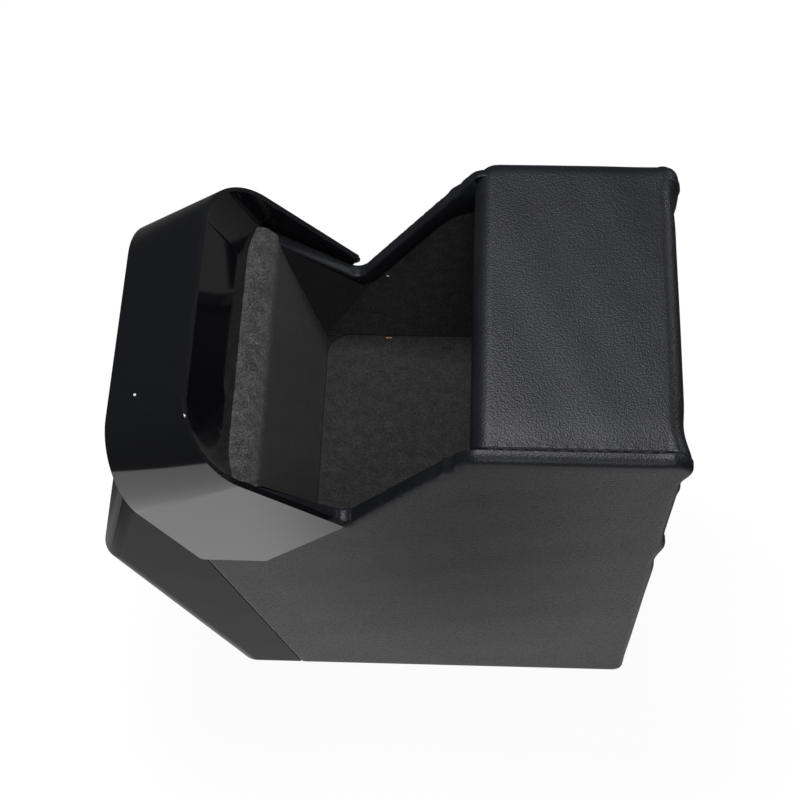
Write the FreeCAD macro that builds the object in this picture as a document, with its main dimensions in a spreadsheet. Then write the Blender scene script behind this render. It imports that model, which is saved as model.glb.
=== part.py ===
"""Padded centre console storage box: plywood carcass, leatherette covers, felt bin and gloss mouldings."""
import FreeCAD, Part
import math
import os
import Sketcher

doc = FreeCAD.newDocument("console_box")
sizes = doc.addObject("Spreadsheet::Sheet", "sizes")

# Driving dimensions in millimetres: +X runs to the rear, +Z up, the box is symmetric about Y = 0
DRIVING = {
    "box_height": 335,
    "top_width": 200,
    "base_width": 146,
    "base_length": 221,
    "rear_lean": 8,
    "deck_length": 116,
    "valley_run": 71,
    "valley_drop": 93,
    "arm_run": 66,
    "arm_rise": 43,
    "cheek_run": 54,
    "cheek_height": 222,
    "board_thickness": 6,
    "cover_thickness": 2,
    "felt_thickness": 2,
    "pad_thickness": 10,
    "mat_thickness": 3,
    "fit_gap": 0.2,
    "bin_depth": 148,
    "bin_reach": 24,
    "bin_wall_run": 30,
    "felt_turn": 25,
    "felt_edge": 5,
    "deck_turn": 25,
    "hood_wall": 2.5,
    "rim_back": 21,
    "rim_rise": 47,
    "brow_run": 48,
    "brow_drop": 32,
    "flap_height": 107,
    "heel_run": 39,
    "tip_rise": 6,
    "hood_corner": 40,
    "chin_round": 5,
    "heel_round": 3,
    "tip_round": 2,
    "skirt_corner": 36,
    "skirt_clear": 1.5,
    "nose_reach": 55,
    "nose_wall": 2.5,
    "nose_inset": 1,
    "nose_height": 184,
    "nose_run": 28,
    "nose_top_drop": 2,
    "nose_crown": 44,
    "nose_foot_run": 43,
    "nose_bend": 16,
    "nose_edge": 12,
    "nail_head": 2,
    "nail_width": 1.2,
    "nail_thickness": 1,
    "nail_sink": 0.8,
    "nail_length": 15,
    "nail_end_set": 35,
}

# Places that follow from the driving dimensions
DERIVED = {
    "length_over": "nose_reach + cheek_run + base_length + rear_lean",
    "rear_x": "length_over / 2",
    "front_x": "-length_over / 2",
    "rear_slope": "rear_lean / box_height",
    "deck_x": "rear_x - deck_length",
    "base_rear_x": "rear_x - rear_lean",
    "base_front_x": "base_rear_x - base_length",
    "valley_x": "deck_x - valley_run",
    "valley_z": "box_height - valley_drop",
    "valley_slope": "valley_run / valley_drop",
    "arm_x": "valley_x - arm_run",
    "arm_z": "valley_z + arm_rise",
    "cheek_x": "base_front_x - cheek_run",
    "cheek_slope": "cheek_run / cheek_height",
    "side_lean": "(top_width - base_width) / 2 / box_height",
    "side_stretch": "sqrt(1 + side_lean ^ 2)",
    "side_angle": "atan(side_lean)",
    "skin_depth": "cover_thickness + board_thickness",
    "lined_depth": "skin_depth + felt_thickness",
    "pad_top": "box_height - cover_thickness",
    "deck_board_top": "pad_top - pad_thickness",
    "deck_low": "deck_board_top - board_thickness",
    "deck_in_x": "deck_x + cover_thickness * sqrt(1 + valley_slope ^ 2) + fit_gap",
    "felt_top": "deck_low - cover_thickness - fit_gap - lined_depth * side_lean",
    "floor_z": "box_height - bin_depth",
    "floor_board_top": "floor_z - mat_thickness",
    "floor_board_low": "floor_board_top - board_thickness",
    "bin_front_x": "valley_x - bin_reach",
    "wall_slope": "bin_wall_run / (arm_z - floor_z)",
    "wall_stretch": "sqrt(1 + wall_slope ^ 2)",
    "wall_top": "arm_z - felt_thickness",
    "rim_x": "arm_x - rim_back",
    "rim_z": "arm_z + rim_rise",
    "brow_x": "rim_x - brow_run",
    "brow_z": "rim_z - brow_drop",
    "chin_z": "brow_z - flap_height",
    "chin_x": "base_front_x - cheek_slope * chin_z",
    "heel_x": "chin_x + heel_run",
    "tip_x": "valley_x",
    "tip_z": "valley_z + tip_rise",
    "rim_length": "sqrt((tip_x - rim_x) ^ 2 + (rim_z - tip_z) ^ 2)",
    "rim_angle": "atan((rim_z - tip_z) / (tip_x - rim_x))",
    "skirt_length": "sqrt(rim_back ^ 2 + rim_rise ^ 2)",
    "skirt_band": "hood_wall / sin(atan(rim_rise / rim_back) - rim_angle)",
    "nose_top_z": "brow_z - nose_top_drop",
    "nose_top_x": "front_x + nose_run",
    "nose_foot_x": "base_front_x - nose_foot_run",
}

for row, (alias, value) in enumerate(DRIVING.items(), 1):
    sizes.set(f"A{row}", alias)
    sizes.set(f"B{row}", str(value))
    sizes.setAlias(f"B{row}", alias)
for row, (alias, formula) in enumerate(DERIVED.items(), len(DRIVING) + 1):
    sizes.set(f"A{row}", alias)
    sizes.set(f"B{row}", "=" + formula)
    sizes.setAlias(f"B{row}", alias)
doc.recompute()

NODES = []
SIDES = {"left": -1, "right": 1}


def bound(text):
    """Writes the sheet's names in an expression with the sheet in front of them."""
    words = text
    for alias in sorted(list(DRIVING) + list(DERIVED), key=len, reverse=True):
        words = words.replace(f"[{alias}]", f"sizes.{alias}")
    return words


def value_of(text):
    """Present value of an expression on the sheet."""
    result = sizes.evalExpression(bound(text))
    return float(getattr(result, "Value", result))


def bind(thing, prop, text):
    """Ties a property of an object to the sheet."""
    thing.setExpression(prop, bound(text))


def keep(thing, name):
    """Names a finished sub-part and lists it for writing."""
    thing.Label = name
    NODES.append(thing)
    return thing


def new_body(name):
    """An empty body for one piece."""
    return doc.addObject("PartDesign::Body", name)


def new_sketch(body, name, role):
    """A sketch on one of the body's own origin planes."""
    sketch = body.newObject("Sketcher::SketchObject", name)
    plane = [feature for feature in body.Origin.OriginFeatures if feature.Role == role][0]
    sketch.AttachmentSupport = (plane, [""])
    sketch.MapMode = "FlatFace"
    return sketch


def pin(sketch, geometry, end, corner):
    """Fixes one end of a line or arc at a corner given by two expressions."""
    for kind, text in zip(("DistanceX", "DistanceY"), corner):
        rule = Sketcher.Constraint(kind, -1, 1, geometry, end, value_of(text))
        bind(sketch, f"Constraints[{sketch.addConstraint(rule)}]", text)


def round_corner(sketch, before, after, corner, points):
    """Rounds the corner between two lines of an outline, the corner itself kept as a construction point."""
    across, up, radius = corner
    last, here, following = points
    towards = (last - here).normalize()
    onwards = (following - here).normalize()
    half_angle = towards.getAngle(onwards) / 2
    middle = (towards + onwards).normalize()
    size = value_of(radius)
    tangent = size / math.tan(half_angle)
    crown = here + middle * (size / math.sin(half_angle) - size)
    arc = sketch.addGeometry(Part.Arc(here + towards * tangent, crown, here + onwards * tangent), False)
    starts_first = sketch.getPoint(arc, 1).isEqual(here + towards * tangent, 0.001)
    near_end, far_end = (1, 2) if starts_first else (2, 1)
    sketch.addConstraint(Sketcher.Constraint("Tangent", before, 2, arc, near_end))
    sketch.addConstraint(Sketcher.Constraint("Tangent", arc, far_end, after, 1))
    rule = sketch.addConstraint(Sketcher.Constraint("Radius", arc, size))
    bind(sketch, f"Constraints[{rule}]", radius)
    point = sketch.addGeometry(Part.Point(here), True)
    pin(sketch, point, 1, (across, up))
    for line in (before, after):
        sketch.addConstraint(Sketcher.Constraint("PointOnObject", point, 1, line))


def outline(sketch, corners):
    """Closed outline through corners given as pairs of expressions, with a radius where a corner is round."""
    points = [FreeCAD.Vector(value_of(corner[0]), value_of(corner[1]), 0) for corner in corners]
    count = len(points)
    first = sketch.GeometryCount
    for index in range(count):
        sketch.addGeometry(Part.LineSegment(points[index], points[(index + 1) % count]), False)
    for index, corner in enumerate(corners):
        before = first + (index - 1) % count
        after = first + index
        if len(corner) == 3:
            around = (points[index - 1], points[index], points[(index + 1) % count])
            round_corner(sketch, before, after, corner, around)
        else:
            sketch.addConstraint(Sketcher.Constraint("Coincident", before, 2, after, 1))
            pin(sketch, after, 1, corner)


def pad_across(body, corners):
    """Side-view outline made into a block that runs right across the box."""
    sketch = new_sketch(body, body.Name + "_profile", "XZ_Plane")
    outline(sketch, corners)
    pad = body.newObject("PartDesign::Pad", body.Name + "_pad")
    pad.Profile = sketch
    pad.SideType = "Symmetric"
    bind(pad, "Length", "2 * [top_width]")
    doc.recompute()
    return pad


def half_at(height, depth):
    """Half the width of the box at a height, less a depth square to the leaning side."""
    return f"([base_width] / 2 + [side_lean] * ({height}) - ({depth}) * [side_stretch])"


def trim_sides(body, depth):
    """Cuts both ends of a block to the leaning side planes, set in from the outer face by a depth."""
    sketch = new_sketch(body, body.Name + "_ends", "YZ_Plane")
    low = "-[board_thickness]"
    high = "[box_height] + [board_thickness]"
    far = "1.5 * [top_width]"
    ends = [(half_at(low, depth), low), (far, low), (far, high), (half_at(high, depth), high)]
    for sign in ("", "-"):
        outline(sketch, [(f"{sign}({u})", v) for u, v in ends])
    before = body.Shape.Volume
    pocket = body.newObject("PartDesign::Pocket", body.Name + "_trim")
    pocket.Profile = sketch
    pocket.SideType = "Symmetric"
    bind(pocket, "Length", "2 * [length_over]")
    doc.recompute()
    if body.Shape.Volume >= before:
        raise ValueError(body.Name + " was not trimmed")
    return pocket


def between_sides(name, corners, depth):
    """A piece with a constant side view whose ends meet the leaning sides."""
    body = new_body(name)
    pad_across(body, corners)
    trim_sides(body, depth)
    return keep(body, name)


def named(shape, kind, test):
    """Names of the faces or edges of a shape that pass a test."""
    elements = getattr(shape, kind + "s")
    return [f"{kind}{index}" for index, element in enumerate(elements, 1) if test(element)]


def spans(first, last):
    """Test for an edge or face whose corners all lie on the lines across through two side-view points."""
    ends = [(value_of(u), value_of(v)) for u, v in (first, last)]

    def test(element):
        places = [(vertex.X, vertex.Z) for vertex in element.Vertexes]
        hits = [min(range(2), key=lambda k: abs(x - ends[k][0]) + abs(z - ends[k][1])) for x, z in places]
        near = all(abs(x - ends[k][0]) + abs(z - ends[k][1]) < 0.01 for (x, z), k in zip(places, hits))
        return near and set(hits) == {0, 1}

    return test


def rear_at(height, inset="0"):
    """Place of the leaning rear face at a height, set in by an inset."""
    return f"([rear_x] - [rear_slope] * ([box_height] - ({height})) - ({inset}))"


def front_at(height, inset="0"):
    """Place of the leaning front edge at a height, set in by an inset."""
    return f"([base_front_x] - [cheek_slope] * ({height}) + ({inset}))"


def wall_at(height, layer="0"):
    """Place of the bin's sloped front wall at a height, a layer behind its felt face."""
    return f"([bin_front_x] - [wall_slope] * (({height}) - [floor_z]) - ({layer}) * [wall_stretch])"


SIDE_OUTLINE = [
    ("[deck_x]", "[box_height]"),
    ("[rear_x]", "[box_height]"),
    ("[base_rear_x]", "0"),
    ("[base_front_x]", "0"),
    ("[cheek_x]", "[cheek_height]"),
    ("[arm_x]", "[arm_z]"),
    ("[valley_x]", "[valley_z]"),
]
FELT_OUTLINE = [
    (wall_at("[floor_board_top]", "[felt_thickness] - [fit_gap]"), "[floor_board_top]"),
    (rear_at("[floor_board_top]", "[skin_depth] + [fit_gap]"), "[floor_board_top]"),
    (rear_at("[felt_top]", "[skin_depth] + [fit_gap]"), "[felt_top]"),
    ("[valley_x] + [valley_slope] * ([felt_top] - [valley_z]) + [felt_edge]", "[felt_top]"),
    ("[valley_x]", "[valley_z] - [felt_edge]"),
    (wall_at("[arm_z] - 2 * [felt_edge]", "[felt_thickness] - [fit_gap]"), "[arm_z] - 2 * [felt_edge]"),
]


def lean(thing, sign):
    """Stands a flat side piece on its base edge and leans it outwards to the deck."""
    bind(thing, "Placement", f"placement(vector(0; {sign} * [base_width] / 2; 0); "
         f"rotation(vector(1; 0; 0); {-sign} * [side_angle]))")


def side_plate(name, sign, corners, depth, thickness):
    """Flat plate in the plane of a side, its outer face a depth inside the leather face."""
    body = new_body(name)
    sketch = new_sketch(body, name + "_profile", "XZ_Plane")
    bind(sketch, "AttachmentOffset.Base.z", f"{sign} * ({depth})")
    outline(sketch, [(u, f"({v}) * [side_stretch]") for u, v in corners])
    pad = body.newObject("PartDesign::Pad", name + "_pad")
    pad.Profile = sketch
    pad.Reversed = sign < 0
    bind(pad, "Length", thickness)
    doc.recompute()
    return body, pad


def side_cover(word, sign):
    """Leatherette side cover: a face sheet with its edges turned in round the plywood side."""
    name = "side_cover_" + word
    body, pad = side_plate(name, sign, SIDE_OUTLINE, "0", "[skin_depth]")
    inner = -sign * value_of("[skin_depth]")
    skin = body.newObject("PartDesign::Thickness", name + "_skin")
    skin.Base = (pad, named(pad.Shape, "Face", lambda face: abs(face.CenterOfMass.y - inner) < 0.01))
    skin.Join = "Intersection"
    skin.Reversed = True
    bind(skin, "Value", "[cover_thickness]")
    lean(body, sign)
    doc.recompute()
    return keep(body, name)


def side_felt(word, sign):
    """Felt lining glued to the inside of a plywood side, from the bin floor to the notch edge."""
    body, _ = side_plate("side_felt_" + word, sign, FELT_OUTLINE, "[skin_depth]", "[felt_thickness]")
    lean(body, sign)
    return keep(body, "side_felt_" + word)


# Carcass nails through each plywood side, as places in the side view on the centre line of an inner panel
MID = "[board_thickness] / 2"
BASE_LINE = "[cover_thickness] + [nail_thickness] / 2 + [fit_gap]"
MID_PANEL = "[cover_thickness] + [board_thickness] / 2"
NAIL_PLACES = [
    ("[base_front_x] + 2 * [nail_end_set]", BASE_LINE),
    ("[base_rear_x] - 2 * [nail_end_set]", BASE_LINE),
    ("[bin_front_x] + [nail_end_set]", "[floor_board_low] + " + MID),
    ("[rear_x] - 2 * [nail_end_set]", "[floor_board_low] + " + MID),
    (rear_at("2 * [nail_end_set]", MID_PANEL), "2 * [nail_end_set]"),
    (rear_at("[deck_low] - [nail_end_set]", MID_PANEL), "[deck_low] - [nail_end_set]"),
    (front_at("[nail_end_set]", MID_PANEL), "[nail_end_set]"),
    (front_at("[cheek_height] - 2 * [nail_end_set]", MID_PANEL), "[cheek_height] - 2 * [nail_end_set]"),
    (wall_at("[floor_z] + [nail_end_set]", "[felt_thickness] + " + MID), "[floor_z] + [nail_end_set]"),
]


def nail(name, carrier, sign, place):
    """Flat-wire brad square to a side, its head flush with the plywood under the cover."""
    across, up = place
    seat = (f"{carrier.Name}.Placement * placement(vector({across}; {-sign} * [cover_thickness]; "
            f"({up}) * [side_stretch]); rotation(vector(1; 0; 0); {sign} * 90))")
    shapes = {"head": ("[nail_head]", "[nail_sink]"), "shank": ("[nail_width]", "[nail_length]")}
    bars = []
    for word, (width, length) in shapes.items():
        bar = doc.addObject("Part::Box", f"{name}_{word}")
        bind(bar, "Length", width)
        bind(bar, "Width", "[nail_thickness]")
        bind(bar, "Height", length)
        middle = f"placement(vector(-{width} / 2; -[nail_thickness] / 2; 0); rotation(0; 0; 0))"
        bind(bar, "Placement", f"{seat} * {middle}")
        bars.append(bar)
    whole = doc.addObject("Part::Fuse", name)
    whole.Base, whole.Tool = bars
    return whole


covers = {word: side_cover(word, sign) for word, sign in SIDES.items()}
felts = {word: side_felt(word, sign) for word, sign in SIDES.items()}

nails = doc.addObject("Part::Compound", "panel_nails")
nails.Links = [nail(f"nail_{word}_{number}", covers[word], sign, place)
               for word, sign in SIDES.items() for number, place in enumerate(NAIL_PLACES, 1)]
doc.recompute()
keep(nails, "panel_nails")


def drilled(name, base):
    """A carcass panel with the holes that its nails fill."""
    cut = doc.addObject("Part::Cut", name + "_drilled")
    cut.Base = base
    cut.Tool = nails
    doc.recompute()
    return keep(cut, name)


def carcass_panel(name, corners):
    """Plywood panel between the two sides, drilled at its ends."""
    body = new_body(name + "_board")
    pad_across(body, corners)
    trim_sides(body, "[skin_depth] + [fit_gap]")
    return drilled(name, body)


def side_panel(word, sign):
    """Plywood side inside its cover, cut down where the deck board rests on it."""
    name = "side_panel_" + word
    body, _ = side_plate(name + "_board", sign, SIDE_OUTLINE, "[cover_thickness]", "[board_thickness]")
    lean(body, sign)
    wrapped = doc.addObject("Part::Cut", name + "_wrapped")
    wrapped.Base = body
    wrapped.Tool = covers[word]
    seat = doc.addObject("Part::Box", name + "_deck_seat")
    bind(seat, "Length", "[deck_length] + [valley_run]")
    bind(seat, "Width", "2 * [top_width]")
    bind(seat, "Height", "[box_height]")
    bind(seat, "Placement", "placement(vector([valley_x]; -[top_width]; [deck_low]); rotation(0; 0; 0))")
    stepped = doc.addObject("Part::Cut", name + "_stepped")
    stepped.Base = wrapped
    stepped.Tool = seat
    doc.recompute()
    return drilled(name, stepped)


for word, sign in SIDES.items():
    side_panel(word, sign)

carcass_panel("rear_panel", [
    (rear_at("0", "[cover_thickness]"), "0"),
    (rear_at("[deck_low]", "[cover_thickness]"), "[deck_low]"),
    (rear_at("[deck_low]", "[skin_depth]"), "[deck_low]"),
    (rear_at("0", "[skin_depth]"), "0"),
])
carcass_panel("base_panel", [
    (front_at("0", "[skin_depth] + [fit_gap]"), "0"),
    (rear_at("0", "[skin_depth] + [fit_gap]"), "0"),
    (rear_at("0", "[skin_depth] + [fit_gap]"), "[board_thickness]"),
    (front_at("0", "[skin_depth] + [fit_gap]"), "[board_thickness]"),
])
carcass_panel("front_panel", [
    (front_at("0", "[cover_thickness]"), "0"),
    (front_at("[cheek_height] - [skin_depth]", "[cover_thickness]"), "[cheek_height] - [skin_depth]"),
    (front_at("[cheek_height] - [skin_depth]", "[skin_depth]"), "[cheek_height] - [skin_depth]"),
    (front_at("0", "[skin_depth]"), "0"),
])
carcass_panel("bin_floor_panel", [
    (wall_at("[floor_board_top]", "[lined_depth]"), "[floor_board_low]"),
    (rear_at("[floor_board_low]", "[skin_depth] + [fit_gap]"), "[floor_board_low]"),
    (rear_at("[floor_board_low]", "[skin_depth] + [fit_gap]"), "[floor_board_top]"),
    (wall_at("[floor_board_top]", "[lined_depth]"), "[floor_board_top]"),
])
carcass_panel("bin_front_panel", [
    (wall_at("[floor_board_top]", "[felt_thickness]"), "[floor_board_top]"),
    (wall_at("[wall_top]", "[felt_thickness]"), "[wall_top]"),
    (wall_at("[wall_top]", "[felt_thickness] + [board_thickness]"), "[wall_top]"),
    (wall_at("[floor_board_top]", "[felt_thickness] + [board_thickness]"), "[floor_board_top]"),
])

# Deck: plywood board resting on the sides, foam on it, leatherette turned over its front edge
DECK_REAR = "[cover_thickness] + [fit_gap]"
between_sides("deck_panel", [
    ("[deck_in_x]", "[deck_low]"),
    (rear_at("[deck_low]", DECK_REAR), "[deck_low]"),
    (rear_at("[deck_low]", DECK_REAR), "[deck_board_top]"),
    ("[deck_in_x]", "[deck_board_top]"),
], "[cover_thickness] + [fit_gap]")
between_sides("deck_pad", [
    ("[deck_in_x]", "[deck_board_top]"),
    (rear_at("[deck_board_top]", DECK_REAR), "[deck_board_top]"),
    (rear_at("[deck_board_top]", DECK_REAR), "[pad_top]"),
    ("[deck_in_x]", "[pad_top]"),
], "[cover_thickness] + [fit_gap]")
between_sides("deck_cover", [
    ("[deck_x] + [deck_turn]", "[deck_low] - [cover_thickness]"),
    ("[deck_x]", "[deck_low] - [cover_thickness]"),
    ("[deck_x]", "[box_height]"),
    (rear_at("[pad_top]", "[cover_thickness]"), "[box_height]"),
    (rear_at("[pad_top]", "[cover_thickness]"), "[pad_top]"),
    ("[deck_x] + [cover_thickness]", "[pad_top]"),
    ("[deck_x] + [cover_thickness]", "[deck_low]"),
    ("[deck_x] + [deck_turn]", "[deck_low]"),
], "[skin_depth] + [fit_gap]")
between_sides("rear_cover", [
    (rear_at("0"), "0"),
    (rear_at("[box_height]"), "[box_height]"),
    (rear_at("[box_height]", "[cover_thickness]"), "[box_height]"),
    (rear_at("0", "[cover_thickness]"), "0"),
], "[skin_depth] + [fit_gap]")

# Felt linings of the bin and its floor mat
between_sides("rear_felt", [
    (rear_at("[floor_board_top]", "[skin_depth]"), "[floor_board_top]"),
    (rear_at("[felt_top]", "[skin_depth]"), "[felt_top]"),
    (rear_at("[felt_top]", "[lined_depth]"), "[felt_top]"),
    (rear_at("[floor_board_top]", "[lined_depth]"), "[floor_board_top]"),
], "[lined_depth] + [fit_gap]")
TURN_LOW = "[arm_z] - [felt_turn]"
OUTER_FACE = "[felt_thickness] + [board_thickness]"
OUTER_FELT = "2 * [felt_thickness] + [board_thickness]"
between_sides("front_felt", [
    (wall_at("[floor_board_top]"), "[floor_board_top]"),
    (wall_at("[arm_z]"), "[arm_z]"),
    (wall_at("[arm_z]", OUTER_FELT), "[arm_z]"),
    (wall_at(TURN_LOW, OUTER_FELT), TURN_LOW),
    (wall_at(TURN_LOW, OUTER_FACE), TURN_LOW),
    (wall_at("[wall_top]", OUTER_FACE), "[wall_top]"),
    (wall_at("[wall_top]", "[felt_thickness]"), "[wall_top]"),
    (wall_at("[floor_board_top]", "[felt_thickness]"), "[floor_board_top]"),
], "[lined_depth] + [fit_gap]")
MAT_FRONT = wall_at("[floor_board_top]", "-[fit_gap]")
MAT_REAR = rear_at("[floor_board_top]", "[lined_depth] + [fit_gap]")
between_sides("floor_mat", [
    (MAT_FRONT, "[floor_board_top]"),
    (MAT_REAR, "[floor_board_top]"),
    (MAT_REAR, "[floor_z]"),
    (MAT_FRONT, "[floor_z]"),
], "[lined_depth] + [fit_gap]")


def rounded(body, base, name, radius, edges):
    """Rounds named edges of the last feature of a body."""
    fillet = body.newObject("PartDesign::Fillet", name)
    fillet.Base = (base, edges)
    bind(fillet, "Radius", radius)
    doc.recompute()
    return fillet


# Hood: moulded gloss shell, its brow panel bending round both corners into the side flaps
RIM = ("[rim_x]", "[rim_z]")
BROW = ("[brow_x]", "[brow_z]")
CHIN = ("[chin_x]", "[chin_z]")
HEEL = ("[heel_x]", "[chin_z]")
TIP = ("[tip_x]", "[tip_z]")
hood_block = new_body("hood_block")
pad_across(hood_block, [RIM, BROW, CHIN, HEEL, TIP])
trimmed = trim_sides(hood_block, "-[fit_gap] - [hood_wall]")
brow_edges = named(trimmed.Shape, "Edge", spans(RIM, BROW))
rounded(hood_block, trimmed, "hood_bends", "[hood_corner]", brow_edges)


def lies_on(first, last):
    """Test for a flat face that lies in the plane across through two side-view points."""
    (x0, z0), (x1, z1) = [(value_of(u), value_of(v)) for u, v in (first, last)]
    normal = FreeCAD.Vector(z1 - z0, 0, x0 - x1).normalize()
    start = FreeCAD.Vector(x0, 0, z0)
    return lambda face: all(abs((vertex.Point - start).dot(normal)) < 0.01 for vertex in face.Vertexes)


open_faces = []
for pair in ((BROW, CHIN), (CHIN, HEEL), (HEEL, TIP), (TIP, RIM)):
    open_faces += named(hood_block.Shape, "Face", lies_on(*pair))
hood_shell = doc.addObject("Part::Thickness", "hood_shell")
hood_shell.Faces = (hood_block, open_faces)
hood_shell.Join = "Intersection"
bind(hood_shell, "Value", "-[hood_wall]")
doc.recompute()

# Rounded lower corners of the flaps, cut through both at once
flap_outline = new_body("flap_outline")
pad_across(flap_outline, [
    RIM,
    BROW,
    CHIN + ("[chin_round]",),
    HEEL + ("[heel_round]",),
    TIP + ("[tip_round]",),
])
hood_trimmed = doc.addObject("Part::Common", "hood_trimmed")
hood_trimmed.Base = hood_shell
hood_trimmed.Tool = flap_outline
doc.recompute()

# Skirt of the hood: a wall from the rim down to the felt edge, rounded into both flaps
RIM_HALF = "([base_width] / 2 + [side_lean] * [rim_z] {} [hood_wall] / 2)"
TIP_HALF = "([base_width] / 2 + [side_lean] * [tip_z] {} [hood_wall] / 2)"
SKIRT_IN = "[hood_wall]"
SKIRT_OUT = "([hood_wall] - [skirt_band])"
skirt = new_body("hood_skirt")
skirt_plan = new_sketch(skirt, "skirt_plan", "XY_Plane")
bind(skirt_plan, "AttachmentOffset",
     "placement(vector([rim_x]; 0; [rim_z]); rotation(vector(0; 1; 0); [rim_angle]))")
outline(skirt_plan, [
    ("[rim_length]", "-" + TIP_HALF.format("+")),
    (SKIRT_OUT, "-" + RIM_HALF.format("+"), "[skirt_corner]"),
    (SKIRT_OUT, RIM_HALF.format("+"), "[skirt_corner]"),
    ("[rim_length]", TIP_HALF.format("+")),
    ("[rim_length]", TIP_HALF.format("-")),
    (SKIRT_IN, RIM_HALF.format("-"), "[skirt_corner]"),
    (SKIRT_IN, "-" + RIM_HALF.format("-"), "[skirt_corner]"),
    ("[rim_length]", "-" + TIP_HALF.format("-")),
])
skirt_pad = skirt.newObject("PartDesign::Pad", "skirt_pad")
skirt_pad.Profile = skirt_plan
skirt_pad.UseCustomVector = True
bind(skirt_pad, "Direction.x", "[rim_back]")
skirt_pad.Direction.y = 0
bind(skirt_pad, "Direction.z", "-[rim_rise]")
skirt_pad.AlongSketchNormal = False
bind(skirt_pad, "Length", "[skirt_length]")
doc.recompute()

# The skirt stops just above the felt roll of the front wall and the leather roll of the notch's front arm
skirt_low = new_sketch(skirt, "skirt_low", "XZ_Plane")
ARM_SLOPE = "([arm_rise] / [arm_run])"
WALL_CLEAR = wall_at("[arm_z]", "-[skirt_clear]")
outline(skirt_low, [
    ("[rim_x]", "[arm_z] + [skirt_clear]"),
    (WALL_CLEAR, "[arm_z] + [skirt_clear]"),
    (WALL_CLEAR, f"[arm_z] + [skirt_clear] - {ARM_SLOPE} * ({WALL_CLEAR} - [arm_x])"),
    ("[deck_x]", f"[arm_z] + [skirt_clear] - {ARM_SLOPE} * ([deck_x] - [arm_x])"),
    ("[deck_x]", "0"),
    ("[rim_x]", "0"),
])
skirt_trim = skirt.newObject("PartDesign::Pocket", "skirt_trim")
skirt_trim.Profile = skirt_low
skirt_trim.SideType = "Symmetric"
bind(skirt_trim, "Length", "2 * [top_width]")
doc.recompute()
skirt_inside = doc.addObject("Part::Common", "skirt_inside")
skirt_inside.Base = skirt
skirt_inside.Tool = hood_block
hood = doc.addObject("Part::Fuse", "hood")
hood.Base = hood_trimmed
hood.Tool = skirt_inside
hood.Refine = True
doc.recompute()
keep(hood, "hood")

# Front cover: moulded gloss nose in front of the carcass, open towards it, above and below
FOOT_REAR = (front_at("0", "-[fit_gap]"), "0")
FOOT = ("[nose_foot_x]", "0")
BEND = ("[front_x]", "[nose_height]")
CREST = ("[nose_top_x]", "[nose_top_z]")
CREST_REAR = ("[cheek_x] - [fit_gap]", "[nose_top_z]")
CHEEK = ("[cheek_x] - [fit_gap]", "[cheek_height]")
front_cover = new_body("front_cover")
pad_across(front_cover, [FOOT_REAR, FOOT, BEND + ("[nose_bend]",), CREST, CREST_REAR, CHEEK])
nose = trim_sides(front_cover, "[nose_inset]")


def on_front(edge):
    """Test for the edges where the sides of the front cover meet its front, the bend among them."""
    slack = 0.01
    (x0, z0), (x1, z1), (x2, z2) = [(value_of(u), value_of(v)) for u, v in (FOOT, BEND, CREST)]
    level = len({round(vertex.Y, 3) for vertex in edge.Vertexes}) == 2
    ends = []
    for vertex in edge.Vertexes:
        lower = (x1 - x0) * (vertex.Z - z0) - (z1 - z0) * (vertex.X - x0)
        upper = (x2 - x1) * (vertex.Z - z1) - (z2 - z1) * (vertex.X - x1)
        ends.append(min(abs(lower), abs(upper)) < slack * z1)
    across = max(abs(v.Y) for v in edge.Vertexes) - abs(sum(v.Y for v in edge.Vertexes)) / 2
    return level and all(ends) and across < value_of("[top_width]") / 4


nose_round = rounded(front_cover, nose, "nose_round", "[nose_edge]", named(nose.Shape, "Edge", on_front))
nose_skin = front_cover.newObject("PartDesign::Thickness", "nose_skin")
open_sides = []
for pair in ((FOOT_REAR, FOOT), (CREST, CREST_REAR), (CREST_REAR, CHEEK), (CHEEK, FOOT_REAR)):
    open_sides += named(nose_round.Shape, "Face", lies_on(*pair))
nose_skin.Base = (nose_round, open_sides)
nose_skin.Join = "Intersection"
nose_skin.Reversed = True
bind(nose_skin, "Value", "[nose_wall]")
doc.recompute()

# Its top corners are rounded off so that it passes up inside the bends of the hood
crown_low = "[nose_top_z] - 2 * [nose_crown]"
crown = new_sketch(front_cover, "nose_crown", "YZ_Plane")
for sign in ("", "-"):
    outline(crown, [
        (f"{sign}{half_at(crown_low, '[nose_inset]')}", crown_low),
        (f"{sign}[top_width]", crown_low),
        (f"{sign}[top_width]", "[box_height]"),
        (f"{sign}({half_at('[nose_top_z]', '[nose_inset]')} - 2 * [nose_crown])", "[box_height]"),
        (f"{sign}({half_at('[nose_top_z]', '[nose_inset]')} - 2 * [nose_crown])", "[nose_top_z]"),
        (f"{sign}{half_at('[nose_top_z]', '[nose_inset]')}", "[nose_top_z]", "[nose_crown]"),
    ])
crown_cut = front_cover.newObject("PartDesign::Pocket", "crown_cut")
crown_cut.Profile = crown
crown_cut.SideType = "Symmetric"
bind(crown_cut, "Length", "2 * [length_over]")
doc.recompute()
keep(front_cover, "front_cover")

failed = [thing.Label for thing in doc.Objects if {"Invalid", "Error"} & set(thing.State)]
failed += [node.Label for node in NODES if node.Shape.isNull() or not node.Shape.isValid()]
if failed:
    raise RuntimeError("failed: " + ", ".join(failed))
os.makedirs("parts", exist_ok=True)
for node in NODES:
    node.Shape.exportStep(f"parts/{node.Label}.step")
    print(f"{node.Label}: {len(node.Shape.Solids)} solid(s), {node.Shape.Volume / 1000:.1f} cm3")
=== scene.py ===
"""Look of the console storage box: leatherette, felt and gloss mouldings, with table, lamps and camera."""

import logging
import math
from dataclasses import dataclass
from enum import Enum, IntEnum
from typing import Sequence

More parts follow.
